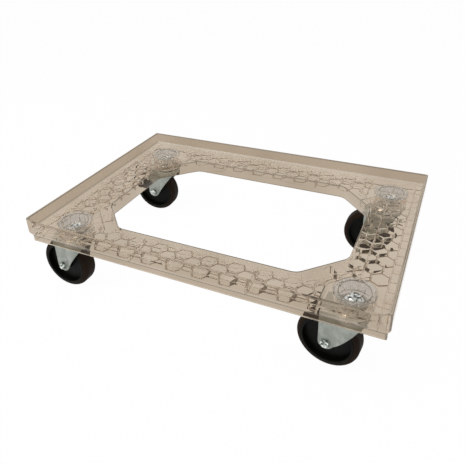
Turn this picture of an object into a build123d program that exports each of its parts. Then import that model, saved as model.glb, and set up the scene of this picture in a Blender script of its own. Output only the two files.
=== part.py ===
from build123d import *
import os
from math import atan2, ceil, cos, degrees, radians, sin, sqrt

os.makedirs("parts", exist_ok=True)

# Dolly for stacking crates of 600 x 400 mm. All sizes are in millimetres.
# The frame stands on the floor at z = 0, with x along the long side.

# Deck: one clear moulding with a raised rim, a lower skirt and an eight-sided opening
rim_length = 620.0
rim_width = 420.0
rim_corner = 3.0
seat_corner = 3.0
skirt_corner = 3.0
cavity_corner = 2.0
rim_rise = 22.0
front_rim_drop = 6.5
front_rim_slope = 10.0
rim_top_wall = 4.0
rim_foot_wall = 5.0
rim_foot_radius = 3.0
rim_edge_radius = 1.8
edge_radius = 1.0
shoulder_inset = 4.0
shoulder_rise = 12.0
shoulder_height = 7.0
shoulder_radius = 8.0
skin = 3.0
skirt_depth = 23.0
skirt_wall = 3.0
end_band = 84.0
side_band = 64.0
opening_cut = 64.0
opening_corner = 22.0

# Ribs under the deck: honeycomb fields, straight ribs along the short sides and ribs to the castor bosses
cell_pitch = 26.6
honeycomb_wall = 2.8
rib_wall = 1.8
honeycomb_depth = 8.0
frame_depth = 14.0
frame_inset = 17.0
side_field_gap = 3.5
lattice_inset = 18.9
cross_rib_columns = 9
cut_rib_inset = 23.7

# Castor bosses, each with a recess that narrows from above to the head of its bolt
castor_end_inset = 58.5
castor_side_inset = 55.2
boss_depth = 23.0
boss_ring_radius = 31.0
boss_ring_wall = 2.5
recess_radius = 16.0
recess_top_radius = 23.0
recess_floor = 4.0
boss_ribs = 8

# Castor bolt, washer and nut
bolt_diameter = 12.0
bolt_hexagon = 18.0
bolt_head = 7.5
head_chamfer = 0.3
bolt_point = 1.5
washer_diameter = 28.0
washer_thick = 2.0
nut_thick = 8.5

# Swivel head: upper race with its stem, a ring of balls and a lower race
race_radius = 28.0
race_height = 7.5
race_sheet = 2.5
race_slope = 4.0
stem_radius = 9.0
ball_ring_inner = 15.5
ball_ring_outer = 22.5
lower_race_radius = 18.0
lower_race_sheet = 2.5
lower_race_lip = 3.5

# Fork: pressed sheet with a round crown and two legs that are folded in to the wheel
fork_sheet = 2.5
crown_radius = 27.0
crown_drop = 10.0
crown_band = 5.0
tyre_gap = 10.5
crown_radius_edge = 3.0
fork_gap = 33.0
leg_end_radius = 12.0
fold_lead = 1.0
fold_radius = 5.0

# Wheel, axle bolt, nut and sleeve
wheel_radius = 50.0
axle_lead = 5.5
tyre_width = 30.0
tyre_depth = 8.0
tyre_shoulder = 7.5
core_rim_depth = 3.5
core_rim_width = 31.0
core_rim_edge = 0.8
core_web = 14.0
hub_radius = 12.0
hub_play = 0.4
sleeve_radius = 6.5
axle_diameter = 8.0
axle_hexagon = 13.0
axle_head = 5.3
axle_nut = 6.5
axle_point = 1.2

# Fits: play of a bolt in its hole, of a thread, of a bearing's radius and of its faces
hole_play = 0.2
thread_play = 0.02
bearing_play = 0.05
thrust_play = 0.05

# Edges and corners this close to a level or a line are picked for its fillet
level_pick = 0.01

# Each castor's side of the deck, and the angle that its wheel trails at, in degrees from +x
front_left_angle = 180.0
front_right_angle = 174.5
back_left_angle = 182.5
back_right_angle = 182.0
castors = {
    "front_left": (-1, -1, front_left_angle),
    "front_right": (1, -1, front_right_angle),
    "back_left": (-1, 1, back_left_angle),
    "back_right": (1, 1, back_right_angle),
}

# Levels, built up from the floor
crown_under = 2 * wheel_radius + tyre_gap
crown_z = crown_under + fork_sheet
mount_z = crown_z + crown_drop
recess_z = mount_z + recess_floor
head_z = recess_z + washer_thick
deck_z = mount_z + boss_depth
rim_z = deck_z + rim_rise
front_rim_z = rim_z - front_rim_drop
front_rim_angle = degrees(atan2(front_rim_drop, front_rim_slope))
under_z = deck_z - skin
skirt_z = under_z - skirt_depth
shoulder_low_z = skirt_z + shoulder_rise
shoulder_z = shoulder_low_z + shoulder_height
honeycomb_z = under_z - honeycomb_depth
frame_z = under_z - frame_depth
lower_race_z = crown_under - thrust_play
stem_z = lower_race_z - lower_race_lip + lower_race_sheet - thrust_play
nut_z = stem_z - lower_race_sheet

# Plan of a castor, from its swivel towards the wheel: the fold of the leg, then the axle, then the leg's end
leg_face = fork_gap / 2 + fork_sheet
fold_x = sqrt(crown_radius**2 - leg_face**2) + fold_lead
wheel_trail = fold_x + axle_hexagon / 2 + axle_lead
trail_edge = wheel_trail + leg_end_radius

# Radius to the corners of the bolts' and nuts' hexagons
bolt_corner = bolt_hexagon / sqrt(3)
axle_corner = axle_hexagon / sqrt(3)

# Plan of the deck, seen from above
castor_x = rim_length / 2 - castor_end_inset
castor_y = rim_width / 2 - castor_side_inset
opening_length = rim_length - 2 * end_band
opening_width = rim_width - 2 * side_band
seat_length = rim_length - 2 * rim_foot_wall
seat_width = rim_width - 2 * rim_foot_wall
seat_top_length = rim_length - 2 * rim_top_wall
seat_top_width = rim_width - 2 * rim_top_wall
skirt_length = rim_length - 2 * shoulder_inset
skirt_width = rim_width - 2 * shoulder_inset
cavity_length = skirt_length - 2 * skirt_wall
cavity_width = skirt_width - 2 * skirt_wall
frame_half_x = rim_length / 2 - frame_inset
inner_x = opening_length / 2 + skirt_wall
inner_y = opening_width / 2 + skirt_wall
column_pitch = cell_pitch * sqrt(3) / 2
cell_flats = cell_pitch - honeycomb_wall
tube_radius = recess_radius + boss_ring_wall
tube_top_radius = recess_top_radius + boss_ring_wall
boss_ring_inner = boss_ring_radius - boss_ring_wall
long_field_half = castor_x - boss_ring_radius - column_pitch / 2
side_field_half = castor_y - boss_ring_radius - side_field_gap
long_columns = 2 * ceil(long_field_half / column_pitch) + 1
side_columns = 2 * ceil(side_field_half / column_pitch + 0.5)
side_rows = ceil((frame_half_x - inner_x) / cell_pitch)
edge_rows = 2 * ceil(castor_y / column_pitch)
field_x = (inner_x - skirt_wall / 2 + frame_half_x) / 2
field_y = (inner_y + cavity_width / 2) / 2
field_width = cavity_width / 2 - inner_y + skirt_wall
lattice_x = castor_x + cell_pitch / 4
lattice_y = inner_y + lattice_inset
long_rows = 2 * ceil((cavity_width / 2 - lattice_y) / cell_pitch) + 1
gap_x = cavity_length / 2 - frame_half_x

# Each corner is braced from its boss square to the cut edge, and by a strut along that edge
cut_sum = (opening_length + opening_width) / 2 - opening_cut
brace_reach = (castor_x + castor_y - cut_sum - skirt_wall) / 2
strut_low_x = cut_sum + cut_rib_inset * sqrt(2) - inner_y
strut_low_y = cut_sum + cut_rib_inset * sqrt(2) - castor_x

with BuildSketch() as opening:
    Rectangle(opening_length, opening_width)
    chamfer(opening.vertices(), opening_cut)
    fillet(opening.vertices(), opening_corner)

with BuildPart() as deck_frame:
    # Narrow skirt, the shoulder that rolls out from it and the block of the rim
    with BuildSketch(Plane.XY.offset(skirt_z)):
        RectangleRounded(skirt_length, skirt_width, skirt_corner)
    extrude(amount=shoulder_rise)
    fillet(deck_frame.edges().group_by(Axis.Z)[0], edge_radius)
    with BuildSketch(Plane.XY.offset(shoulder_low_z)):
        RectangleRounded(skirt_length, skirt_width, skirt_corner)
    with BuildSketch(Plane.XY.offset(shoulder_z)):
        RectangleRounded(rim_length, rim_width, rim_corner)
    loft()
    with BuildSketch(Plane.XY.offset(shoulder_z)):
        RectangleRounded(rim_length, rim_width, rim_corner)
    extrude(amount=rim_z - shoulder_z)
    shoulder = deck_frame.edges().filter_by_position(Axis.Z, shoulder_z - level_pick, shoulder_z + level_pick)
    fillet(shoulder, shoulder_radius)

    # Seat for the crate, wider at the top so that the crate drops in
    with BuildSketch(Plane.XY.offset(rim_z)):
        RectangleRounded(seat_top_length, seat_top_width, seat_corner)
    with BuildSketch(Plane.XY.offset(deck_z)):
        RectangleRounded(seat_length, seat_width, seat_corner)
    loft(mode=Mode.SUBTRACT)
    foot = deck_frame.edges().filter_by_position(Axis.Z, deck_z - level_pick, deck_z + level_pick)
    fillet(foot, rim_foot_radius)
    fillet(deck_frame.edges().group_by(Axis.Z)[-1], rim_edge_radius)

    # The front rim is lower than the other three, and slopes up to them at its ends
    with BuildSketch(Plane.XZ.offset(seat_width / 2 - rim_foot_radius)):
        with Locations((0, rim_z)):
            Trapezoid(seat_top_length, front_rim_drop, front_rim_angle, rotation=180, align=(Align.CENTER, Align.MIN))
    extrude(amount=rim_foot_wall + 2 * rim_foot_radius, mode=Mode.SUBTRACT)
    front_edges = deck_frame.edges().filter_by_position(Axis.Z, front_rim_z - level_pick, front_rim_z + level_pick)
    fillet(front_edges.filter_by(Axis.X), rim_edge_radius)

    # Hollow underside between the outer skirt and the wall round the opening
    with BuildSketch(Plane.XY.offset(skirt_z)):
        RectangleRounded(cavity_length, cavity_width, cavity_corner)
        offset(opening.sketch, amount=skirt_wall, kind=Kind.ARC, mode=Mode.SUBTRACT)
    extrude(amount=under_z - skirt_z, mode=Mode.SUBTRACT)

    # Opening through the deck, with its upper edge rounded
    with BuildSketch(Plane.XY.offset(skirt_z)):
        add(opening.sketch)
    extrude(amount=deck_z - skirt_z, mode=Mode.SUBTRACT)
    deck_edges = deck_frame.edges().filter_by_position(Axis.Z, deck_z - level_pick, deck_z + level_pick)
    opening_edges = deck_edges.filter_by_position(Axis.X, -inner_x, inner_x)
    fillet(opening_edges.filter_by_position(Axis.Y, -inner_y, inner_y), edge_radius)

    # Castor bosses: an outer ring, radial ribs and the funnel round the bolt's head
    with BuildSketch(Plane.XY.offset(mount_z)):
        with GridLocations(2 * castor_x, 2 * castor_y, 2, 2):
            Circle(boss_ring_radius)
        with GridLocations(2 * castor_x, 2 * castor_y, 2, 2):
            Circle(boss_ring_inner, mode=Mode.SUBTRACT)
        with GridLocations(2 * castor_x, 2 * castor_y, 2, 2):
            with PolarLocations((recess_radius + boss_ring_radius) / 2, boss_ribs, 180 / boss_ribs):
                Rectangle(boss_ring_inner - recess_radius, rib_wall)
    extrude(amount=under_z - mount_z)
    with Locations((0, 0, mount_z)):
        with GridLocations(2 * castor_x, 2 * castor_y, 2, 2):
            Cone(tube_radius, tube_top_radius, under_z - mount_z, align=(Align.CENTER, Align.CENTER, Align.MIN))

    # Honeycomb fields along the sides, turned a quarter on the short sides, and short ribs to the skirt there
    with BuildSketch(Plane.XY.offset(honeycomb_z)):
        with GridLocations(0, 2 * field_y, 1, 2):
            Rectangle(2 * long_field_half, field_width)
        with GridLocations(2 * field_x, 0, 2, 1):
            Rectangle(frame_half_x - inner_x + skirt_wall / 2, 2 * side_field_half)
        with Locations((0, -lattice_y), Location((0, lattice_y, 0), (0, 0, 180))):
            with HexLocations(cell_pitch / 2, long_columns, long_rows):
                RegularPolygon(cell_flats / 2, 6, major_radius=False, mode=Mode.SUBTRACT)
        with Locations(Location((lattice_x, 0, 0), (0, 0, 90)), Location((-lattice_x, 0, 0), (0, 0, -90))):
            with HexLocations(cell_pitch / 2, side_columns, side_rows):
                RegularPolygon(cell_flats / 2, 6, major_radius=False, mode=Mode.SUBTRACT)
        with GridLocations(2 * frame_half_x + gap_x, column_pitch, 2, edge_rows):
            Rectangle(gap_x + 2 * rib_wall, rib_wall)
    extrude(amount=honeycomb_depth)

    # Straight ribs along the short sides and between bosses, and the ribs that brace each cut corner
    with BuildSketch(Plane.XY.offset(frame_z)):
        with GridLocations(2 * frame_half_x - rib_wall, 0, 2, 1):
            Rectangle(rib_wall, cavity_width + skirt_wall)
        with GridLocations(2 * castor_x, 0, 2, 1):
            Rectangle(rib_wall, cavity_width + skirt_wall)
        with GridLocations(castor_x + cavity_length / 2, 2 * castor_y, 2, 2):
            Rectangle(cavity_length / 2 - castor_x + skirt_wall, rib_wall)
        with GridLocations(2 * long_field_half, 2 * field_y, 2, 2):
            Rectangle(rib_wall, field_width)
        with GridLocations(cross_rib_columns * column_pitch, 2 * field_y, 2, 2):
            Rectangle(rib_wall, field_width)
        for side_x, side_y in ((1, 1), (1, -1), (-1, 1), (-1, -1)):
            brace_turn = 45 * side_x * side_y
            brace_at = (side_x * (castor_x - brace_reach / 2), side_y * (castor_y - brace_reach / 2), 0)
            with Locations(Location(brace_at, (0, 0, brace_turn))):
                Rectangle(brace_reach * sqrt(2), rib_wall)
            strut_at = (side_x * (castor_x + strut_low_x) / 2, side_y * (strut_low_y + inner_y) / 2, 0)
            with Locations(Location(strut_at, (0, 0, -brace_turn))):
                Rectangle((castor_x - strut_low_x) * sqrt(2), rib_wall)
    extrude(amount=frame_depth)

    # Recess and bolt hole of each boss
    with Locations((0, 0, recess_z)):
        with GridLocations(2 * castor_x, 2 * castor_y, 2, 2):
            Cone(
                recess_radius,
                recess_top_radius,
                deck_z - recess_z,
                align=(Align.CENTER, Align.CENTER, Align.MIN),
                mode=Mode.SUBTRACT,
            )
    with BuildSketch(Plane.XY.offset(mount_z)):
        with GridLocations(2 * castor_x, 2 * castor_y, 2, 2):
            Circle(bolt_diameter / 2 + hole_play)
    extrude(amount=recess_floor, mode=Mode.SUBTRACT)
deck_frame.part.label = "deck_frame"
export_step(deck_frame.part, "parts/deck_frame.step")

for corner, (side_x, side_y, bearing) in castors.items():
    # Planes of this castor: level and along the wheel, on edge through the wheel, and at the axle
    turn = radians(bearing)
    ahead = Vector(cos(turn), sin(turn), 0)
    across = Vector(-sin(turn), cos(turn), 0)
    swivel = Vector(side_x * castor_x, side_y * castor_y, 0)
    axle = swivel + ahead * wheel_trail + Vector(0, 0, wheel_radius)
    level = Plane(origin=swivel, x_dir=ahead, z_dir=(0, 0, 1))
    upright = Plane(origin=swivel, x_dir=ahead, z_dir=across * -1)
    spin = Plane(origin=axle, x_dir=ahead, z_dir=(0, 0, 1))
    square = Plane(origin=axle, x_dir=ahead, z_dir=across)
    swivel_axis = Axis(swivel, (0, 0, 1))
    axle_axis = Axis(axle, across)

    # Bolt from above, with its hexagon head down in the recess of the boss
    with BuildPart() as mount_bolt:
        with BuildSketch(level.offset(head_z)):
            RegularPolygon(bolt_hexagon / 2, 6, major_radius=False)
        extrude(amount=bolt_head)
        with BuildSketch(upright):
            with BuildLine():
                Polyline(
                    (0, head_z),
                    (bolt_corner, head_z),
                    (bolt_corner, head_z + bolt_head - bolt_corner + bolt_hexagon / 2),
                    (bolt_hexagon / 2 - head_chamfer, head_z + bolt_head),
                    (0, head_z + bolt_head),
                    close=True,
                )
            make_face()
        revolve(axis=swivel_axis, mode=Mode.INTERSECT)
        with BuildSketch(level.offset(nut_z - nut_thick - bolt_point)):
            Circle(bolt_diameter / 2)
        extrude(amount=head_z - nut_z + nut_thick + bolt_point)
        chamfer(mount_bolt.edges().group_by(Axis.Z)[0], bolt_point / 2)
    mount_bolt.part.label = corner + "_mount_bolt"
    export_step(mount_bolt.part, "parts/" + corner + "_mount_bolt.step")

    # Plain washer under the bolt's head
    with BuildPart() as mount_washer:
        with BuildSketch(level.offset(recess_z)):
            Circle(washer_diameter / 2)
            Circle(bolt_diameter / 2 + hole_play, mode=Mode.SUBTRACT)
        extrude(amount=washer_thick)
    mount_washer.part.label = corner + "_mount_washer"
    export_step(mount_washer.part, "parts/" + corner + "_mount_washer.step")

    # Upper race: a pressed dish against the boss, with the stem that the fork turns on
    with BuildPart() as upper_race:
        with BuildSketch(upright):
            with BuildLine():
                Polyline(
                    (bolt_diameter / 2 + hole_play, stem_z),
                    (stem_radius, stem_z),
                    (stem_radius, mount_z - race_sheet),
                    (race_radius - race_sheet - race_slope / 2, mount_z - race_sheet),
                    (race_radius - race_sheet, mount_z - race_sheet - race_slope / 2),
                    (race_radius - race_sheet, mount_z - race_height),
                    (race_radius, mount_z - race_height),
                    (race_radius, mount_z - race_slope),
                    (race_radius - race_slope, mount_z),
                    (bolt_diameter / 2 + hole_play, mount_z),
                    close=True,
                )
            make_face()
        revolve(axis=swivel_axis)
    upper_race.part.label = corner + "_upper_race"
    export_step(upper_race.part, "parts/" + corner + "_upper_race.step")

    # Ring of balls in their cage, between the upper race and the crown of the fork
    with BuildPart() as ball_ring:
        with BuildSketch(upright):
            ball_low = crown_z + thrust_play
            ball_high = mount_z - race_sheet
            with Locations(((ball_ring_inner + ball_ring_outer) / 2, (ball_low + ball_high) / 2)):
                RectangleRounded(ball_ring_outer - ball_ring_inner, ball_high - ball_low, edge_radius)
        revolve(axis=swivel_axis)
    ball_ring.part.label = corner + "_ball_ring"
    export_step(ball_ring.part, "parts/" + corner + "_ball_ring.step")

    # Lower race: a cup on the end of the stem, with its lip just below the crown
    with BuildPart() as lower_race:
        with BuildSketch(upright):
            with BuildLine():
                Polyline(
                    (bolt_diameter / 2 + hole_play, nut_z),
                    (lower_race_radius, nut_z),
                    (lower_race_radius, lower_race_z),
                    (lower_race_radius - lower_race_sheet, lower_race_z),
                    (lower_race_radius - lower_race_sheet, stem_z),
                    (bolt_diameter / 2 + hole_play, stem_z),
                    close=True,
                )
            make_face()
        revolve(axis=swivel_axis)
    lower_race.part.label = corner + "_lower_race"
    export_step(lower_race.part, "parts/" + corner + "_lower_race.step")

    # Nut that draws the races and the boss together on the bolt
    with BuildPart() as lock_nut:
        with BuildSketch(level.offset(nut_z - nut_thick)):
            RegularPolygon(bolt_hexagon / 2, 6, major_radius=False)
            Circle(bolt_diameter / 2 + thread_play, mode=Mode.SUBTRACT)
        extrude(amount=nut_thick)
        with BuildSketch(upright):
            with BuildLine():
                Polyline(
                    (0, nut_z),
                    (bolt_corner, nut_z),
                    (bolt_corner, nut_z - nut_thick + bolt_corner - bolt_hexagon / 2),
                    (bolt_hexagon / 2 - head_chamfer, nut_z - nut_thick),
                    (0, nut_z - nut_thick),
                    close=True,
                )
            make_face()
        revolve(axis=swivel_axis, mode=Mode.INTERSECT)
    lock_nut.part.label = corner + "_lock_nut"
    export_step(lock_nut.part, "parts/" + corner + "_lock_nut.step")

    # Fork: crown and legs of one pressed sheet, cut to a leg that narrows to the axle
    with BuildPart() as fork:
        leg_z = wheel_radius - leg_end_radius
        with BuildSketch(level.offset(leg_z)) as outline:
            # The flared sheet leaves the crown's circle on a tangent and meets the leg at the fold
            span = sqrt(fold_x**2 + leg_face**2)
            along = crown_radius**2 / span**2
            aside = crown_radius * sqrt(span**2 - crown_radius**2) / span**2
            tangent_x = fold_x * along - leg_face * aside
            tangent_y = leg_face * along + fold_x * aside
            flare = ((fold_x, -leg_face), (fold_x, leg_face), (tangent_x, tangent_y), (tangent_x, -tangent_y))
            Circle(crown_radius)
            Polygon(*flare, align=None)
            with Locations(((fold_x + trail_edge) / 2, 0)):
                Rectangle(trail_edge - fold_x, 2 * leg_face)
            folds = outline.vertices().filter_by_position(Axis.X, fold_x - level_pick, fold_x + level_pick)
            fillet(folds, fold_radius)
        extrude(amount=crown_z - leg_z)
        fillet(fork.edges().group_by(Axis.Z)[-1], crown_radius_edge)
        with BuildSketch(level.offset(leg_z)):
            offset(outline.sketch_local, amount=-fork_sheet, kind=Kind.ARC)
            with Locations((trail_edge, 0)):
                Rectangle(4 * fork_sheet, fork_gap)
        extrude(amount=crown_under - leg_z, mode=Mode.SUBTRACT)
        with BuildSketch(upright):
            with Locations((wheel_trail, wheel_radius)):
                Circle(leg_end_radius)
            with Locations(((trail_edge - crown_radius) / 2, crown_z - crown_band / 2)):
                Rectangle(trail_edge + crown_radius, crown_band)
            make_hull()
        extrude(amount=2 * crown_radius, both=True, mode=Mode.INTERSECT)
        with BuildSketch(level.offset(crown_under)):
            Circle(stem_radius + bearing_play)
        extrude(amount=fork_sheet, mode=Mode.SUBTRACT)
        with BuildSketch(square):
            Circle(axle_diameter / 2 + hole_play)
        extrude(amount=fork_gap, both=True, mode=Mode.SUBTRACT)
    fork.part.label = corner + "_fork"
    export_step(fork.part, "parts/" + corner + "_fork.step")

    # Axle bolt through both legs, with its head on the outer side
    with BuildPart() as axle_bolt:
        with BuildSketch(square.offset(leg_face)):
            RegularPolygon(axle_hexagon / 2, 6, major_radius=False, rotation=30)
        extrude(amount=axle_head)
        with BuildSketch(spin):
            with BuildLine():
                Polyline(
                    (0, leg_face),
                    (axle_corner, leg_face),
                    (axle_corner, leg_face + axle_head - axle_corner + axle_hexagon / 2),
                    (axle_hexagon / 2 - head_chamfer, leg_face + axle_head),
                    (0, leg_face + axle_head),
                    close=True,
                )
            make_face()
        revolve(axis=axle_axis, mode=Mode.INTERSECT)
        with BuildSketch(square.offset(-leg_face - axle_nut - axle_point)):
            Circle(axle_diameter / 2)
        extrude(amount=2 * leg_face + axle_nut + axle_point)
        chamfer(axle_bolt.edges().group_by(axle_axis)[0], axle_point / 2)
    axle_bolt.part.label = corner + "_axle_bolt"
    export_step(axle_bolt.part, "parts/" + corner + "_axle_bolt.step")

    # Nut on the inner end of the axle bolt
    with BuildPart() as axle_nut_part:
        with BuildSketch(square.offset(-leg_face - axle_nut)):
            RegularPolygon(axle_hexagon / 2, 6, major_radius=False, rotation=30)
            Circle(axle_diameter / 2 + thread_play, mode=Mode.SUBTRACT)
        extrude(amount=axle_nut)
        with BuildSketch(spin):
            with BuildLine():
                Polyline(
                    (0, -leg_face),
                    (axle_corner, -leg_face),
                    (axle_corner, -leg_face - axle_nut + axle_corner - axle_hexagon / 2),
                    (axle_hexagon / 2 - head_chamfer, -leg_face - axle_nut),
                    (0, -leg_face - axle_nut),
                    close=True,
                )
            make_face()
        revolve(axis=axle_axis, mode=Mode.INTERSECT)
    axle_nut_part.part.label = corner + "_axle_nut"
    export_step(axle_nut_part.part, "parts/" + corner + "_axle_nut.step")

    # Sleeve clamped between the legs, which the wheel turns on
    with BuildPart() as axle_sleeve:
        with BuildSketch(square):
            Circle(sleeve_radius)
            Circle(axle_diameter / 2 + hole_play, mode=Mode.SUBTRACT)
        extrude(amount=fork_gap / 2, both=True)
    axle_sleeve.part.label = corner + "_axle_sleeve"
    export_step(axle_sleeve.part, "parts/" + corner + "_axle_sleeve.step")

    # Wheel core: hub, web and a rim that stands up as a ring round the dished face
    with BuildPart() as wheel_core:
        with BuildSketch(spin) as core_profile:
            core_radius = wheel_radius - tyre_depth
            hub_half = fork_gap / 2 - hub_play
            bore = sleeve_radius + bearing_play
            with Locations(((bore + hub_radius) / 2, 0)):
                Rectangle(hub_radius - bore, 2 * hub_half)
            with Locations(((bore + core_radius) / 2, 0)):
                Rectangle(core_radius - bore, core_web)
            with Locations((core_radius - core_rim_depth / 2, 0)):
                RectangleRounded(core_rim_depth, core_rim_width, core_rim_edge)
        revolve(axis=axle_axis)
    wheel_core.part.label = corner + "_wheel_core"
    export_step(wheel_core.part, "parts/" + corner + "_wheel_core.step")

    # Tyre moulded round the core, with round shoulders
    with BuildPart() as tyre:
        with BuildSketch(spin) as tyre_profile:
            with Locations((wheel_radius - tyre_depth / 2, 0)):
                Rectangle(tyre_depth, tyre_width)
            shoulders = tyre_profile.vertices().group_by(Axis.X)[-1]
            fillet(shoulders, tyre_shoulder)
        revolve(axis=axle_axis)
    tyre.part.label = corner + "_tyre"
    export_step(tyre.part, "parts/" + corner + "_tyre.step")
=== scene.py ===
from math import cos, pi, radians, sin

import bmesh
import bpy
from mathutils import Matrix, Vector


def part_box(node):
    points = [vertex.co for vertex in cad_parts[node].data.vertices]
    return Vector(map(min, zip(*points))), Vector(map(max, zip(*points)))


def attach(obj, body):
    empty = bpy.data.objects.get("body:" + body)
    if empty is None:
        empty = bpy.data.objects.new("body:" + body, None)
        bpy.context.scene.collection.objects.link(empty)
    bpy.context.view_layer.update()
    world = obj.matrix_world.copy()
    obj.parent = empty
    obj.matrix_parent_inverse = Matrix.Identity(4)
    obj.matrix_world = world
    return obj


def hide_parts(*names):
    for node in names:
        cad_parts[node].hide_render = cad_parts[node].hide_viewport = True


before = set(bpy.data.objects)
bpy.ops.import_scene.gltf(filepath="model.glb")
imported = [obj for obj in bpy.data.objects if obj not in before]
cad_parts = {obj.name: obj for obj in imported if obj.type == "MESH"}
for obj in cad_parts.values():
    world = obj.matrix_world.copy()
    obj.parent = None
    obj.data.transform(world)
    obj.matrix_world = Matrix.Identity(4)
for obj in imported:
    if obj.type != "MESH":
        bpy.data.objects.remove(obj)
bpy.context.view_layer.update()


# Deck: one injection moulding in clear polycarbonate with a smoky tan cast, ribbed on its underside.
# A rim holds the crate, a skirt closes the sides, and each castor hangs from a bolt in a recessed boss.
# Walls are glossy, and edges are partly frosted and carry painted shade and painted highlight lines, so ribs
# and rims show as thin lines through the skin.

def linear(hex_colour):
    """The linear colour of an sRGB hex value."""
    shares = [int(hex_colour[i : i + 2], 16) / 255 for i in (0, 2, 4)]
    return [s / 12.92 if s <= 0.04045 else ((s + 0.055) / 1.055) ** 2.4 for s in shares] + [1.0]


def add(tree, kind, inputs=None, **settings):
    """Adds a node. Settings are its properties, and inputs holds values or the sockets that feed it."""
    node = tree.nodes.new("ShaderNode" + kind)
    for name, value in settings.items():
        setattr(node, name, value)
    for name, value in (inputs or {}).items():
        if isinstance(value, bpy.types.NodeSocket):
            tree.links.new(value, node.inputs[name])
        else:
            node.inputs[name].default_value = value
    return node


def finish_of(name):
    """A new material with an empty node tree and its output."""
    material = bpy.data.materials.new(name)
    material.use_nodes = True
    material.node_tree.nodes.clear()
    return material, material.node_tree, material.node_tree.nodes.new("ShaderNodeOutputMaterial")


bolt_place = (0.2515, 0.1548)
painted_dish_shade_radius = 0.031
painted_dish_shade_fade = 0.003
painted_dish_shade_line = 0.0005
flow_scale = 9.0  # the melt's flow leaves patches about 110 mm across
scuff_scale = 160.0  # crates leave scuffs about 6 mm across


def clear_finish(name, tints, clear, painted_dish_shade=None):
    """Clear polycarbonate: glossy, with faint scuffs, and with a painted glow on the first wall, an emission
    that stands in for light scattered by a slight brown haze.
    The first wall that the eye meets has two tints in soft patches, and walls further in have the third.
    The share that isn't clear is frosted. A dish shade is painted shade round each bolt: a greyer disc and a
    darker ring line at its edge."""
    material, tree, out = finish_of(name)
    path = add(tree, "LightPath")
    place = add(tree, "TexCoord")
    further = add(tree, "Math", {0: path.outputs["Transmission Depth"], 1: 1.5}, operation="GREATER_THAN")
    flow = add(tree, "TexNoise", {"Vector": place.outputs["Object"], "Scale": flow_scale, "Detail": 2.0})
    patches = add(tree, "MapRange", {"Value": flow.outputs["Fac"], "From Min": 0.35, "From Max": 0.65})
    tint = add(tree, "MixRGB", {"Fac": patches.outputs[0],
                                "Color1": linear(tints[0]), "Color2": linear(tints[1])})
    # Painted shade round each bolt: a greyer disc, and a darker ring line where the edge of a shallow dish
    # would show
    if painted_dish_shade:
        inner, line = painted_dish_shade
        folded = add(tree, "VectorMath", {0: place.outputs["Object"]}, operation="ABSOLUTE")
        offset = add(tree, "VectorMath", {0: folded.outputs[0], 1: (*bolt_place, 0)}, operation="SUBTRACT")
        flat = add(tree, "VectorMath", {0: offset.outputs[0], 1: (1, 1, 0)}, operation="MULTIPLY")
        away = add(tree, "VectorMath", {0: flat.outputs[0]}, operation="LENGTH").outputs["Value"]
        within = add(tree, "MapRange", {"Value": away, "From Min": painted_dish_shade_radius,
                                        "From Max": painted_dish_shade_radius - painted_dish_shade_fade})
        tint = add(tree, "MixRGB", {"Fac": within.outputs[0],
                                    "Color1": tint.outputs[0], "Color2": linear(inner)})
        ring = add(tree, "Math", {0: away, 1: painted_dish_shade_radius, 2: painted_dish_shade_line}, operation="COMPARE")
        tint = add(tree, "MixRGB", {"Fac": ring.outputs[0],
                                    "Color1": tint.outputs[0], "Color2": linear(line)})
    tan = add(tree, "MixRGB", {"Fac": further.outputs[0],
                               "Color1": tint.outputs[0], "Color2": linear(tints[2])})
    scuff = add(tree, "TexNoise", {"Vector": place.outputs["Object"], "Scale": scuff_scale, "Detail": 4.0})
    gloss = add(tree, "MapRange", {"Value": scuff.outputs["Fac"], "From Min": 0.45, "From Max": 0.75,
                                   "To Min": 0.02, "To Max": 0.07})
    # Polycarbonate has an IOR of 1.58. A lower one keeps what lies behind the many thin walls in its place
    wall = add(tree, "BsdfPrincipled", {"Base Color": tan.outputs[0], "Roughness": gloss.outputs[0],
                                        "Transmission Weight": clear, "IOR": 1.12,
                                        "Coat Weight": 0.15, "Coat Roughness": 0.03})
    # Painted glow: a faint brown emission on the first wall, for the light that the haze would scatter
    painted_haze_glow = add(tree, "Emission", {"Color": linear("f3caa0"), "Strength": 1.0})
    painted_haze_glow_share = add(tree, "MapRange", {"Value": further.outputs[0], "To Min": 0.018, "To Max": 0.0})
    with_painted_haze_glow = add(tree, "MixShader", {0: painted_haze_glow_share.outputs[0], 1: wall.outputs[0], 2: painted_haze_glow.outputs[0]})
    # Rays caught between the walls end on a painted glow, an even emission that stands in for the light they
    # would carry out
    mirrored_often = add(tree, "Math", {0: path.outputs["Glossy Depth"], 1: 2.5}, operation="GREATER_THAN")
    long_path = add(tree, "Math", {0: path.outputs["Ray Depth"], 1: 9.5}, operation="GREATER_THAN")
    caught = add(tree, "Math", {0: mirrored_often.outputs[0], 1: long_path.outputs[0]}, operation="MAXIMUM")
    painted_caught_glow = add(tree, "Emission", {"Color": linear("d2c8bc"), "Strength": 1.0})
    lit = add(tree, "MixShader", {0: caught.outputs[0], 1: with_painted_haze_glow.outputs[0], 2: painted_caught_glow.outputs[0]})
    # What metal mirrors through the deck is as bright as through a thin pane
    mirrored = add(tree, "Math", {0: path.outputs["Is Glossy Ray"], 1: path.outputs["Is Transmission Ray"]},
                   operation="SUBTRACT")
    inside = add(tree, "Math", {0: path.outputs["Transmission Depth"], 1: 2.0}, operation="MODULO")
    from_metal = add(tree, "Math", {0: mirrored.outputs[0], 1: inside.outputs[0]},
                     operation="SUBTRACT", use_clamp=True)
    pane = add(tree, "BsdfTransparent", {"Color": linear("fbf8f4")})
    seen = add(tree, "MixShader", {0: from_metal.outputs[0], 1: lit.outputs[0], 2: pane.outputs[0]})
    tree.links.new(seen.outputs[0], out.inputs["Surface"])
    return material
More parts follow.
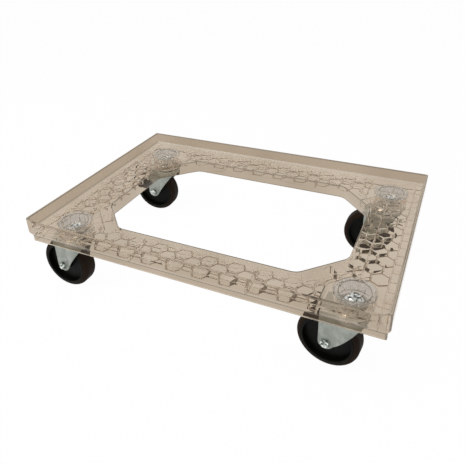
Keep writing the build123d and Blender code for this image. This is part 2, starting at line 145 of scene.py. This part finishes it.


# Walls are clear and tan. Edges and rib faces are partly frosted and carry painted light, so they show as
# lines: brown painted shade at ribs, rims, the opening and the shoulder, pale painted highlights at the
# skirt's lower edge and the rim's foot, and pale painted light on the ribs' undersides
deck_finishes = {
    "wall": clear_finish("clear_polycarbonate", ("bdaf9d", "b1a391", "fefdfc"), 1.0, ("b4aea6", "b4aea6")),
    "rib_shade_line": clear_finish("clear_polycarbonate_rib_shade_line", ("a39586", "998b7c", "a39586"), 0.2),
    "skirt_highlight_line": clear_finish("clear_polycarbonate_skirt_highlight_line", ("fbf2ea", "f3eae0", "fbf2ea"), 0.15),
    "rim_shade_line": clear_finish("clear_polycarbonate_rim_shade_line", ("857c70", "8f867a", "857c70"), 0.3),
    "rib_painted_light": clear_finish("clear_polycarbonate_rib_painted_light", ("cfc4b7", "c6bbad", "cfc4b7"), 0.2),
    "opening_shade_strip": clear_finish("clear_polycarbonate_opening_shade_strip", ("978c7e", "9f9486", "978c7e"), 0.3),
    "side_front_shade_line": clear_finish("clear_polycarbonate_side_front_shade_line", ("a89b8a", "a09382", "a89b8a"), 0.6),
    "foot_highlight_line": clear_finish("clear_polycarbonate_foot_highlight_line", ("d6cbbd", "cec3b4", "d6cbbd"), 0.55),
    "skin": clear_finish("clear_polycarbonate_skin", ("d0c4b4", "c2b5a4", "fefdfc"), 1.0,
                         ("bbb5ac", "8e857a")),
    "rim": clear_finish("clear_polycarbonate_rim", ("b0a18e", "a79885", "fefdfc"), 1.0),
    "near_shade_strip": clear_finish("clear_polycarbonate_near_shade_strip", ("574f45", "5f574c", "574f45"), 0.15),
}
finish_number = {name: number for number, name in enumerate(deck_finishes)}

# Levels of the moulding, from the skirt's lower edge to the top of the rim
low_level = 0.120
recess_level = 0.127
rib_levels = (0.135, 0.129)
shoulder_level = 0.132
deck_level = 0.146
front_rim_level = 0.1615
rim_level = 0.168
foot_radius = 0.003
rim_radius = 0.0018
skirt_chamfer = 0.001
wall_top_radius = 0.0015

# Plan of the moulding: half sizes of boxes round the opening, inside the skirt and at the skirt's outside
opening_half = (0.229, 0.149)
skirt_half = (0.29, 0.19)
skirt_outside = (0.306, 0.206)
recess_radius = 0.016
recess_top_radius = 0.023

# Roundings, and the widths of the strips that carry painted shade lines below the deck and below the shoulder
mould_edge = 0.0006
top_edge = 0.0008
rib_edges = ((0.135, 0.0009), (0.129, 0.0006), (0.123, 0.0006), (0.120, 0.0006))
edge_strip = 0.0026
shoulder_strip = 0.0014
bevel_room = 2.2
sharp_angle = radians(35)
mould_angle = radians(50)

# Limits for picking faces and edges: shares of a face's normal, then distances from a level or a circle
upright_share = 0.1
level_share = 0.9
flat_share = 0.96
near_share = 0.2  # the opening's near wall faces the back
corner_reach = 0.03  # a corner's faces lean outwards along both sides
level_error = 1e-5
skin_error = 1e-4
circle_error = 0.0004
weld_distance = 1e-6

deck =bpy.data.objects.new("deck_moulding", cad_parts["deck_frame"].data.copy())
bpy.context.scene.collection.objects.link(deck)
deck.data.materials.clear()
for finish in deck_finishes.values():
    deck.data.materials.append(finish)
shape = bmesh.new()
shape.from_mesh(deck.data)
bmesh.ops.remove_doubles(shape, verts=shape.verts, dist=weld_distance)


def upright(face):
    """True for a face that stands on edge."""
    return abs(face.normal.z) < upright_share


def in_opening(point):
    """True for a point within the opening's box."""
    return abs(point.x) < opening_half[0] and abs(point.y) < opening_half[1]


def past_skirt(point, half):
    """True for a point outside a box of these half sizes."""
    return abs(point.x) > half[0] or abs(point.y) > half[1]


def outside_skirt(face):
    """True for an upright face on the outside of the skirt, below the shoulder."""
    middle = face.calc_center_median()
    outside = past_skirt(middle, [size - mould_edge for size in skirt_outside])
    return outside and upright(face) and middle.z < shoulder_level


def split(faces, level):
    """Cuts faces along a level."""
    around = dict.fromkeys(part for face in faces for part in (*face.edges, *face.verts))
    bmesh.ops.bisect_plane(shape, geom=faces + list(around), plane_co=(0, 0, level), plane_no=(0, 0, 1))


def finish_at(face):
    """The finish of a face, from its place on the moulding."""
    middle, normal = face.calc_center_median(), face.normal
    slanted = upright_share < abs(normal.z) < flat_share
    at_front = middle.y < -skirt_half[1]
    # The skirt's lower edge: a pale painted highlight line
    if slanted and middle.z < low_level + skirt_chamfer and past_skirt(middle, skirt_half):
        return "skirt_highlight_line"
    # The rim's top edge, the shoulder's strip and the front corners take dark painted shade lines
    if slanted and middle.z > rim_level - rim_radius:
        return "rim_shade_line"
    # The strip below the opening's edge: painted shade, darkest on the near wall, which faces the back
    if in_opening(middle) and abs(normal.z) < flat_share and -edge_strip < middle.z - deck_level < 0:
        return "near_shade_strip" if normal.y > near_share else "opening_shade_strip"
    # The rim's foot: a pale painted highlight at the front and back, and a painted shade line at the sides
    if slanted and deck_level < middle.z < deck_level + foot_radius:
        return "foot_highlight_line" if abs(normal.y) > abs(normal.x) else "side_front_shade_line"
    if outside_skirt(face) and middle.z > shoulder_level - shoulder_strip:
        return "rim_shade_line"
    if upright(face) and min(normal.x * middle.x, normal.y * middle.y) > corner_reach and at_front:
        return "rim_shade_line"
    # The front rim's top edge: a painted shade line
    if slanted and middle.z > front_rim_level - rim_radius and at_front:
        return "side_front_shade_line"
    # The ribs' undersides: pale painted light
    if normal.z < -level_share and any(abs(middle.z - level) < level_error for level in rib_levels):
        return "rib_painted_light"
    if normal.z > level_share and abs(middle.z - deck_level) < skin_error:
        return "skin"
    if middle.z > deck_level + foot_radius:
        if at_front and abs(normal.y) > 0.5:
            return "skin" if normal.y < 0 else "wall"
        return "rim"
    return "wall"


opening_wall = [f for f in shape.faces if in_opening(f.calc_center_median()) and upright(f)
                and max(v.co.z for v in f.verts) > deck_level - wall_top_radius]
split(opening_wall, deck_level - edge_strip)
split([f for f in shape.faces if outside_skirt(f)], shoulder_level - shoulder_strip)
for face in shape.faces:
    face.material_index = finish_number[finish_at(face)]


def at_level(edge, level):
    """True for a sharp edge that lies at a level."""
    sharp = edge.is_manifold and edge.calc_face_angle() > sharp_angle
    return sharp and all(abs(v.co.z - level) < level_error for v in edge.verts)


def round_bolt(edge, radius):
    """True for an edge on a circle round a castor's bolt."""
    spots = [Vector((abs(v.co.x) - bolt_place[0], abs(v.co.y) - bolt_place[1])) for v in edge.verts]
    return all(abs(spot.length - radius) < circle_error for spot in spots)


def on_skirt(edge):
    """True for an edge of the outer skirt."""
    return all(past_skirt(v.co, skirt_half) for v in edge.verts)


def roomy(edge, width):
    """True where all the edges that meet an edge are long enough for its rounding."""
    return all(other.calc_length() > bevel_room * width for v in edge.verts for other in v.link_edges)


def round_off(edges, width, steps, clamp, finish):
    """Rounds edges of the moulding, and gives the new faces a finish."""
    bmesh.ops.bevel(shape, geom=edges, offset=width, segments=steps, profile=0.5, affect="EDGES",
                    clamp_overlap=clamp, material=finish_number[finish])


top_edges = [e for e in shape.edges if at_level(e, deck_level)
             and (all(in_opening(v.co) for v in e.verts) or round_bolt(e, recess_top_radius))]
top_edges += [e for e in shape.edges if at_level(e, recess_level) and round_bolt(e, recess_radius)]
# The top edges of the opening and the recesses get dark painted shade lines
round_off(top_edges, top_edge, 2, True, "rim_shade_line")
low_edges = [e for e in shape.edges if at_level(e, low_level) and on_skirt(e)]
round_off(low_edges, mould_edge, 2, True, "skirt_highlight_line")
# Rib edges get brown painted shade lines
for level, width in rib_edges:
    edges = [e for e in shape.edges if at_level(e, level) and not on_skirt(e) and roomy(e, width)]
    round_off(edges, width, 1, False, "rib_shade_line")
shape.to_mesh(deck.data)
shape.free()
rounded = deck.modifiers.new("mould_edges", "BEVEL")
rounded.width = mould_edge
rounded.segments = 2
rounded.limit_method = "ANGLE"
rounded.angle_limit = mould_angle
rounded.use_clamp_overlap = True
deck.data.shade_smooth()
deck.data.set_sharp_from_angle(angle=sharp_angle)
# Light passes the clear deck, so it casts no shadow on the castors and the floor
deck.visible_shadow = False
deck.visible_diffuse = False
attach(deck, "deck")
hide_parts("deck_frame")


# Castor bolts, washers, races and nuts: turned and pressed steel, bright zinc plated.
# The bolt goes down through the boss, and the nut below draws the races up against it.
# The plating's pale film dulls its mirror in soft patches, the bolt heads carry painted glints and painted
# dark reflections in patches, and the bolts' ends carry a rolled thread.

def zinc_finish(name, tones, gloss, grain, grain_scale, patch_scale, metal, thread=None, crown=None):
    """Zinc plating: two tones in patches, uneven gloss and a fine grain.
    A thread has its axis, its pitch and the shares of the bolt's length between which it begins.
    A crown, a pressed piece's upper part, has the heights between which it begins, and its tone, a painted
    light that makes the piece lighter towards its top."""
    material, tree, out = finish_of(name)
    place = add(tree, "TexCoord")
    patches = add(tree, "TexNoise", {"Vector": place.outputs["Object"], "Scale": patch_scale,
                                     "Detail": 3.0, "Roughness": 0.6})
    blotch = add(tree, "MapRange", {"Value": patches.outputs["Fac"], "From Min": 0.4, "From Max": 0.6})
    tone = add(tree, "MixRGB", {"Fac": blotch.outputs[0],
                                "Color1": linear(tones[0]), "Color2": linear(tones[1])})
    if crown:
        from_height, to_height, crown_painted_light_tone = crown
        upward = add(tree, "SeparateXYZ", {0: place.outputs["Object"]})
        crown_painted_light_share = add(tree, "MapRange", {"Value": upward.outputs["Z"],
                                        "From Min": from_height, "From Max": to_height})
        tone = add(tree, "MixRGB", {"Fac": crown_painted_light_share.outputs[0],
                                    "Color1": tone.outputs[0], "Color2": linear(crown_painted_light_tone)})
    sheen = add(tree, "MapRange", {"Value": patches.outputs["Fac"], "From Min": 0.3, "From Max": 0.7,
                                   "To Min": gloss[0], "To Max": gloss[1]})
    fine = add(tree, "TexNoise", {"Vector": place.outputs["Object"], "Scale": grain_scale, "Detail": 2.0})
    relief = add(tree, "Bump", {"Height": fine.outputs["Fac"], "Strength": 0.5, "Distance": grain})
    if thread:
        direction, pitch, from_end, to_end = thread
        across = add(tree, "SeparateXYZ", {0: place.outputs["Object"]})
        turns = add(tree, "Math", {0: across.outputs[direction], 1: 2 * pi / pitch}, operation="MULTIPLY")
        ridge = add(tree, "Math", {0: turns.outputs[0]}, operation="SINE")
        along = add(tree, "SeparateXYZ", {0: place.outputs["Generated"]})
        end = add(tree, "MapRange", {"Value": along.outputs[direction],
                                     "From Min": from_end, "From Max": to_end})
        depth = add(tree, "Math", {0: ridge.outputs[0], 1: end.outputs[0]}, operation="MULTIPLY")
        relief = add(tree, "Bump", {"Height": depth.outputs[0], "Normal": relief.outputs[0],
                                    "Strength": 1.0, "Distance": pitch / 4})
    body = add(tree, "BsdfPrincipled", {"Base Color": tone.outputs[0], "Roughness": sheen.outputs[0],
                                        "Normal": relief.outputs[0], "Metallic": metal})
    tree.links.new(body.outputs["BSDF"], out.inputs["Surface"])
    return material


def soften(node, body, material, edge):
    """A copy of a CAD node's shape with its sharp edges rounded, which stands for the node."""
    piece = bpy.data.objects.new(node + "_finish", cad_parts[node].data.copy())
    bpy.context.scene.collection.objects.link(piece)
    welded = bmesh.new()
    welded.from_mesh(piece.data)
    bmesh.ops.remove_doubles(welded, verts=welded.verts, dist=weld_distance)
    welded.to_mesh(piece.data)
    welded.free()
    piece.data.materials.clear()
    piece.data.materials.append(material)
    softer = piece.modifiers.new("broken_edges", "BEVEL")
    softer.width = edge
    softer.segments = 2
    softer.limit_method = "ANGLE"
    softer.angle_limit = sharp_angle
    softer.use_clamp_overlap = True
    piece.data.shade_smooth()
    piece.data.set_sharp_from_angle(angle=sharp_angle)
    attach(piece, body)
    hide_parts(node)


corners = ("front_left", "front_right", "back_left", "back_right")
broken_edge = 0.0003
bolt_pitch = 0.00175
plate_patch = 70.0  # the film clouds in patches about 14 mm across
plate_grain = 1400.0  # crystals about 0.7 mm across, coarser than real ones so that they show
painted_glint_patch = 240.0  # painted glints and painted dark reflections in patches about 4 mm across on the bolt heads
head_grain = 420.0  # dents about 2.4 mm across, which break up the glints
bright_zinc = zinc_finish("bright_zinc_plating", ("f2f5f5", "e2e6e6"), gloss=(0.16, 0.32), grain=0.00002,
                          grain_scale=plate_grain, patch_scale=plate_patch, metal=0.35)
# The mount bolts' two tones are painted light: near-white painted glints and near-black painted reflections
bolt_zinc = zinc_finish("bright_zinc_bolt", ("f6f6f2", "3e423c"), gloss=(0.08, 0.2), grain=0.0006,
                        grain_scale=head_grain, patch_scale=painted_glint_patch, metal=1.0,
                        thread=("Z", bolt_pitch, 0.5, 0.45))
for corner in corners:
    soften(corner + "_mount_bolt", "deck", bolt_zinc, broken_edge)
    for piece_name in ("mount_washer", "upper_race", "lower_race", "lock_nut"):
        soften(corner + "_" + piece_name, "deck", bright_zinc, broken_edge)


# Ball bearing of each swivel: hardened steel balls in a thin pressed cage, between upper race and crown.
# Ground steel, greased, so it is smooth and darker than the plating round it.

smear_scale = 220.0  # grease lies in smears about 5 mm across
ball_steel, tree, out = finish_of("greased_bearing_steel")
place = add(tree, "TexCoord")
smear = add(tree, "TexNoise", {"Vector": place.outputs["Object"], "Scale": smear_scale, "Detail": 2.0})
tone = add(tree, "MixRGB", {"Fac": smear.outputs["Fac"],
                            "Color1": linear("b9b9ba"), "Color2": linear("6e6558")})
wet = add(tree, "MapRange", {"Value": smear.outputs["Fac"], "From Min": 0.35, "From Max": 0.65,
                             "To Min": 0.12, "To Max": 0.35})
body = add(tree, "BsdfPrincipled", {"Base Color": tone.outputs[0], "Roughness": wet.outputs[0],
                                    "Metallic": 1.0})
tree.links.new(body.outputs["BSDF"], out.inputs["Surface"])

ball_count = 14
ball_proud = 0.0002  # the balls stand a little past the ring that stands for them in the frame
cage_sheet = 0.0008
cage_half_width = 0.0026
cage_steps = 64
for corner in corners:
    low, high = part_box(corner + "_ball_ring")
    ball_radius = (high.z - low.z) / 2
    orbit = (high.x - low.x) / 2 - ball_radius + ball_proud
    shape = bmesh.new()
    for i in range(ball_count):
        angle = 2 * pi * i / ball_count
        spot = Matrix.Translation((orbit * cos(angle), orbit * sin(angle), 0))
        bmesh.ops.create_uvsphere(shape, u_segments=20, v_segments=12, radius=ball_radius, matrix=spot)
    section = [(orbit + side * cage_half_width, level * cage_sheet / 2)
               for side, level in ((-1, -1), (1, -1), (1, 1), (-1, 1))]
    rings = []
    for k in range(cage_steps):
        angle = 2 * pi * k / cage_steps
        rings.append([shape.verts.new((r * cos(angle), r * sin(angle), z)) for r, z in section])
    for here, there in zip(rings, rings[1:] + rings[:1]):
        for i in range(4):
            shape.faces.new((here[i], there[i], there[(i + 1) % 4], here[(i + 1) % 4]))
    bmesh.ops.recalc_face_normals(shape, faces=shape.faces)
    mesh = bpy.data.meshes.new(corner + "_balls")
    shape.to_mesh(mesh)
    shape.free()
    mesh.materials.append(ball_steel)
    mesh.shade_smooth()
    mesh.set_sharp_from_angle(angle=sharp_angle)
    balls = bpy.data.objects.new(corner + "_balls", mesh)
    balls.location = (low + high) / 2
    bpy.context.scene.collection.objects.link(balls)
    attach(balls, "deck")
    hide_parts(corner + "_ball_ring")


# Forks: crown and legs pressed from one steel sheet, zinc plated a dull grey-green, and painted near-white
# towards the crown's top as painted light from above.
# The axle bolt passes both legs and a sleeve between them, and a nut holds it. They are bright plated.

fork_edge = 0.0004
axle_pitch = 0.00125
# The fork's crown tone is painted light: near-white towards the top
dull_zinc = zinc_finish("dull_zinc_sheet", ("9ea39b", "8d928a"), gloss=(0.36, 0.5), grain=0.00003,
                        grain_scale=plate_grain, patch_scale=plate_patch, metal=0.3,
                        crown=(0.102, 0.116, "f0f6f8"))
# The axle bolts' two tones are painted light as well: near-white painted glints and near-black painted
# reflections
axle_zinc = zinc_finish("bright_zinc_axle", ("e8eee8", "3a403b"), gloss=(0.08, 0.2), grain=0.0006,
                        grain_scale=head_grain, patch_scale=painted_glint_patch, metal=1.0,
                        thread=("Y", axle_pitch, 0.5, 0.55))
for corner in corners:
    castor = corner + "_castor"
    soften(corner + "_fork", castor, dull_zinc, fork_edge)
    soften(corner + "_axle_bolt", castor, axle_zinc, broken_edge)
    soften(corner + "_axle_nut", castor, bright_zinc, broken_edge)
    soften(corner + "_axle_sleeve", castor, bright_zinc, broken_edge)


# Wheels: a core moulded in black polypropylene, satin and slightly grained, that turns on the sleeve,
# with a black rubber tyre moulded round it, whose tread has a brown cast of floor dust.

bloom_scale = 45.0  # the moulding has a bloom in patches about 22 mm across
core_pores = 900.0  # grain about 1.1 mm across, coarser than the real one so that it shows
core_plastic, tree, out = finish_of("black_polypropylene")
place = add(tree, "TexCoord")
bloom = add(tree, "TexNoise", {"Vector": place.outputs["Object"], "Scale": bloom_scale, "Detail": 3.0})
tone = add(tree, "MixRGB", {"Fac": bloom.outputs["Fac"],
                            "Color1": linear("060604"), "Color2": linear("0b0b08")})
satin = add(tree, "MapRange", {"Value": bloom.outputs["Fac"], "From Min": 0.3, "From Max": 0.7,
                               "To Min": 0.38, "To Max": 0.55})
pores = add(tree, "TexNoise", {"Vector": place.outputs["Object"], "Scale": core_pores, "Detail": 2.0})
relief = add(tree, "Bump", {"Height": pores.outputs["Fac"], "Strength": 0.2, "Distance": 0.00005})
body = add(tree, "BsdfPrincipled", {"Base Color": tone.outputs[0], "Roughness": satin.outputs[0],
                                    "Normal": relief.outputs[0], "Specular IOR Level": 0.08})
tree.links.new(body.outputs["BSDF"], out.inputs["Surface"])

dust_scale = 120.0  # dust sits in patches about 8 mm across
tyre_pores = 700.0  # pores about 1.4 mm across, coarser than real ones so that they show
tyre_rubber, tree, out = finish_of("black_rubber")
place = add(tree, "TexCoord")
dust = add(tree, "TexNoise", {"Vector": place.outputs["Object"], "Scale": dust_scale,
                              "Detail": 5.0, "Roughness": 0.65})
tone = add(tree, "MixRGB", {"Fac": dust.outputs["Fac"],
                            "Color1": linear("120b06"), "Color2": linear("281b10")})
matt = add(tree, "MapRange", {"Value": dust.outputs["Fac"], "From Min": 0.3, "From Max": 0.7,
                              "To Min": 0.55, "To Max": 0.8})
pores = add(tree, "TexNoise", {"Vector": place.outputs["Object"], "Scale": tyre_pores, "Detail": 3.0})
relief = add(tree, "Bump", {"Height": pores.outputs["Fac"], "Strength": 0.3, "Distance": 0.0001})
body = add(tree, "BsdfPrincipled", {"Base Color": tone.outputs[0], "Roughness": matt.outputs[0],
                                    "Normal": relief.outputs[0], "Specular IOR Level": 0.08})
tree.links.new(body.outputs["BSDF"], out.inputs["Surface"])

wheel_edge = 0.0004
for corner in corners:
    soften(corner + "_wheel_core", corner + "_wheel", core_plastic, wheel_edge)
    soften(corner + "_tyre", corner + "_wheel", tyre_rubber, wheel_edge)


# Studio: a plain pale floor, a white surround, dimmer overhead in what metal mirrors, and one soft lamp.
# The eye, mirrors and clear walls see plain white, and the floor keeps a faint shadow of the object.

def seen_directly(tree):
    """1 for what the eye sees, also mirrored or through a clear wall, and 0 for light on the object."""
    rays = add(tree, "LightPath").outputs
    seen = add(tree, "Math", {0: rays["Is Camera Ray"], 1: rays["Is Glossy Ray"]}, operation="MAXIMUM")
    seen = add(tree, "Math", {0: seen.outputs[0], 1: rays["Is Transmission Ray"]}, operation="MAXIMUM")
    return seen.outputs[0]


floor_half = 15.0
white_share = 0.97
floor_mesh = bpy.data.meshes.new("floor")
floor_corners = [(x * floor_half, y * floor_half, 0) for x, y in ((-1, -1), (1, -1), (1, 1), (-1, 1))]
floor_mesh.from_pydata(floor_corners, [], [(0, 1, 2, 3)])
floor = bpy.data.objects.new("floor", floor_mesh)
bpy.context.scene.collection.objects.link(floor)
pale, tree, out = finish_of("pale_floor")
matt = add(tree, "BsdfDiffuse", {"Color": (0.95, 0.95, 0.95, 1)})
white = add(tree, "Emission", {"Strength": 1.0})
share = add(tree, "Math", {0: seen_directly(tree), 1: white_share}, operation="MULTIPLY")
mixed = add(tree, "MixShader", {0: share.outputs[0], 1: matt.outputs[0], 2: white.outputs[0]})
tree.links.new(mixed.outputs[0], out.inputs["Surface"])
floor_mesh.materials.append(pale)

sky_level = 0.55
world = bpy.data.worlds.new("surround")
bpy.context.scene.world = world
world.use_nodes = True
tree = world.node_tree
tree.nodes.clear()
way = add(tree, "TexCoord")
height = add(tree, "SeparateXYZ", {0: way.outputs["Generated"]})
dim = add(tree, "MapRange", {"Value": height.outputs["Z"], "From Min": 0.3, "From Max": 0.9,
                             "To Min": 1.0, "To Max": 0.5})
lit = add(tree, "Background", {"Color": (1, 1, 1, 1), "Strength": sky_level})
white = add(tree, "Background", {"Color": (1, 1, 1, 1), "Strength": dim.outputs[0]})
mixed = add(tree, "MixShader", {0: seen_directly(tree), 1: lit.outputs[0], 2: white.outputs[0]})
tree.links.new(mixed.outputs[0], tree.nodes.new("ShaderNodeOutputWorld").inputs["Surface"])

key_data = bpy.data.lights.new("key", "AREA")
key_data.shape = "DISK"
key_data.size = 1.6
key_data.energy = 24.0
key = bpy.data.objects.new("key", key_data)
key.location = (-0.9, -1.0, 1.9)
key.rotation_euler = (-key.location).to_track_quat("-Z", "Y").to_euler()
bpy.context.scene.collection.objects.link(key)


# Camera: the photograph's view, solved from the edges of the rim, the skirt and three wheels.
# The photograph is cropped off its middle, and the shift follows that crop.

eye = Vector((0.34318, -0.72395, 0.61463))
azimuth = radians(25.763)
elevation = radians(26.241)
roll = radians(-2.068)
camera_data = bpy.data.cameras.new("camera")
camera_data.sensor_width = 36.0
camera_data.lens = 38.675
camera_data.shift_x = -0.0022
camera_data.shift_y = -0.1344
camera = bpy.data.objects.new("camera", camera_data)
turn = Matrix.Rotation(azimuth, 4, "Z") @ Matrix.Rotation(pi / 2 - elevation, 4, "X")
camera.matrix_world = Matrix.Translation(eye) @ turn @ Matrix.Rotation(roll, 4, "Z")
bpy.context.scene.collection.objects.link(camera)
bpy.context.scene.camera = camera
bpy.context.scene.view_settings.view_transform = "Standard"
